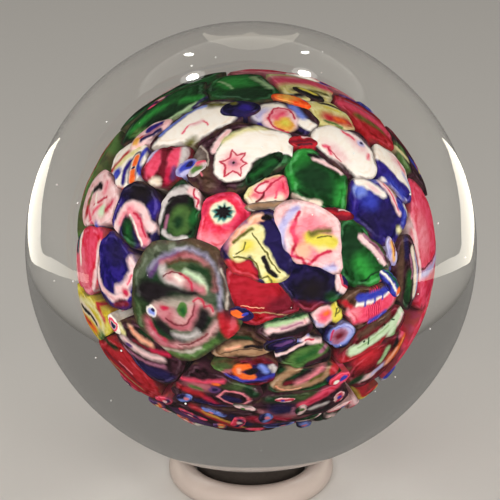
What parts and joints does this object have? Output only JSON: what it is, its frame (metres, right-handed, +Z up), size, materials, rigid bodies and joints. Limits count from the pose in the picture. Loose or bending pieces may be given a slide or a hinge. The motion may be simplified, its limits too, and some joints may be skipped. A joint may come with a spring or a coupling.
{
  "type": "paperweight",
  "caption": "Clear glass ball paperweight over a scrambled cluster of coloured millefiori canes, resting in a small off-white display ring with a dark soft seat.",
  "frame": {"origin": "centre of the display ring's foot, on the surface it stands on", "axes": "+Z up through the ring and the ball; the front of the ball faces -Y"},
  "size_m": [0.07, 0.07, 0.0751],
  "materials": {
    "display_ring": "smooth, warm off-white",
    "seat_insert": "matt black",
    "crown_glass": "polished clear",
    "base_glass": "polished clear, ground spot underneath",
    "core_glass": "dark plum coloured glass",
    "white_star_cane": "coloured glass cane with a drawn pattern",
    "white_streak_cane": "coloured glass cane with a drawn pattern",
    "white_oval_cane": "coloured glass cane with a drawn pattern",
    "amber_pink_cane": "coloured glass cane with a drawn pattern",
    "green_large_cane": "coloured glass cane with a drawn pattern",
    "pink_scroll_cane": "coloured glass cane with a drawn pattern",
    "blue_large_cane": "coloured glass cane with a drawn pattern",
    "white_blue_cane": "coloured glass cane with a drawn pattern",
    "red_right_cane": "coloured glass cane with a drawn pattern",
    "green_right_cane": "coloured glass cane with a drawn pattern",
    "pink_lobed_cane": "coloured glass cane with a drawn pattern",
    "navy_dark_cane": "coloured glass cane with a drawn pattern",
    "yellow_star_cane": "coloured glass cane with a drawn pattern",
    "red_dome_cane": "coloured glass cane with a drawn pattern",
    "pink_eye_cane": "coloured glass cane with a drawn pattern",
    "green_grey_cane": "coloured glass cane with a drawn pattern",
    "navy_arch_cane": "coloured glass cane with a drawn pattern",
    "navy_low_cane": "coloured glass cane with a drawn pattern",
    "pink_left_cane": "coloured glass cane with a drawn pattern",
    "pink_striped_cane": "coloured glass cane with a drawn pattern",
    "blue_orange_cane": "coloured glass cane with a drawn pattern",
    "crimson_pair_cane": "coloured glass cane with a drawn pattern",
    "green_left_cane": "coloured glass cane with a drawn pattern",
    "green_top_cane": "coloured glass cane with a drawn pattern",
    "pink_top_cane": "coloured glass cane with a drawn pattern",
    "red_yellow_cane": "coloured glass cane with a drawn pattern",
    "red_streak_cane": "coloured glass cane with a drawn pattern",
    "olive_strip_cane": "coloured glass cane with a drawn pattern",
    "swirl_disc_cane": "coloured glass cane with a drawn pattern",
    "striped_scroll_cane": "coloured glass cane with a drawn pattern",
    "pink_bead_cane": "coloured glass cane with a drawn pattern",
    "lavender_bead_cane": "coloured glass cane with a drawn pattern",
    "crimson_fringe_cane": "coloured glass cane with a drawn pattern",
    "mint_cane": "coloured glass cane with a drawn pattern",
    "maroon_right_cane": "coloured glass cane with a drawn pattern",
    "green_bottom_cane": "coloured glass cane with a drawn pattern",
    "beige_loop_cane": "coloured glass cane with a drawn pattern",
    "blue_flower_cane": "coloured glass cane with a drawn pattern",
    "beige_scroll_cane": "coloured glass cane with a drawn pattern",
    "crimson_low_cane": "coloured glass cane with a drawn pattern",
    "violet_low_cane": "coloured glass cane with a drawn pattern",
    "yellow_loop_cane": "coloured glass cane with a drawn pattern",
    "navy_slant_cane": "coloured glass cane with a drawn pattern",
    "red_slant_cane": "coloured glass cane with a drawn pattern",
    "green_strip_cane": "coloured glass cane with a drawn pattern",
    "violet_under_cane": "coloured glass cane with a drawn pattern",
    "cobalt_rear_cane": "coloured glass cane with a drawn pattern",
    "white_rear_cane": "coloured glass cane with a drawn pattern",
    "red_rear_cane": "coloured glass cane with a drawn pattern",
    "green_rear_cane": "coloured glass cane with a drawn pattern",
    "pink_rear_cane": "coloured glass cane with a drawn pattern",
    "amber_rear_cane": "coloured glass cane with a drawn pattern",
    "navy_rear_cane": "coloured glass cane with a drawn pattern",
    "mint_rear_cane": "coloured glass cane with a drawn pattern",
    "crimson_under_cane": "coloured glass cane with a drawn pattern"
  },
  "bodies": {
    "ring": {"display_ring": "display_ring", "seat_insert": "seat_insert"},
    "weight": {"crown_glass": "crown_glass", "base_glass": "base_glass", "core_glass": "core_glass", "white_star_cane": "white_star_cane", "white_streak_cane": "white_streak_cane", "white_oval_cane": "white_oval_cane", "amber_pink_cane": "amber_pink_cane", "green_large_cane": "green_large_cane", "pink_scroll_cane": "pink_scroll_cane", "blue_large_cane": "blue_large_cane", "white_blue_cane": "white_blue_cane", "red_right_cane": "red_right_cane", "green_right_cane": "green_right_cane", "pink_lobed_cane": "pink_lobed_cane", "navy_dark_cane": "navy_dark_cane", "yellow_star_cane": "yellow_star_cane", "red_dome_cane": "red_dome_cane", "pink_eye_cane": "pink_eye_cane", "green_grey_cane": "green_grey_cane", "navy_arch_cane": "navy_arch_cane", "navy_low_cane": "navy_low_cane", "pink_left_cane": "pink_left_cane", "pink_striped_cane": "pink_striped_cane", "blue_orange_cane": "blue_orange_cane", "crimson_pair_cane": "crimson_pair_cane", "green_left_cane": "green_left_cane", "green_top_cane": "green_top_cane", "pink_top_cane": "pink_top_cane", "red_yellow_cane": "red_yellow_cane", "red_streak_cane": "red_streak_cane", "olive_strip_cane": "olive_strip_cane", "swirl_disc_cane": "swirl_disc_cane", "striped_scroll_cane": "striped_scroll_cane", "pink_bead_cane": "pink_bead_cane", "lavender_bead_cane": "lavender_bead_cane", "crimson_fringe_cane": "crimson_fringe_cane", "mint_cane": "mint_cane", "maroon_right_cane": "maroon_right_cane", "green_bottom_cane": "green_bottom_cane", "beige_loop_cane": "beige_loop_cane", "blue_flower_cane": "blue_flower_cane", "beige_scroll_cane": "beige_scroll_cane", "crimson_low_cane": "crimson_low_cane", "violet_low_cane": "violet_low_cane", "yellow_loop_cane": "yellow_loop_cane", "navy_slant_cane": "navy_slant_cane", "red_slant_cane": "red_slant_cane", "green_strip_cane": "green_strip_cane", "violet_under_cane": "violet_under_cane", "cobalt_rear_cane": "cobalt_rear_cane", "white_rear_cane": "white_rear_cane", "red_rear_cane": "red_rear_cane", "green_rear_cane": "green_rear_cane", "pink_rear_cane": "pink_rear_cane", "amber_rear_cane": "amber_rear_cane", "navy_rear_cane": "navy_rear_cane", "mint_rear_cane": "mint_rear_cane", "crimson_under_cane": "crimson_under_cane"}
  },
  "joints": [
    {"name": "weight_lift", "type": "slide", "parent": "ring", "child": "weight", "axis": [0, 0, 1], "range_m": [0, 0.05]}
  ]
}
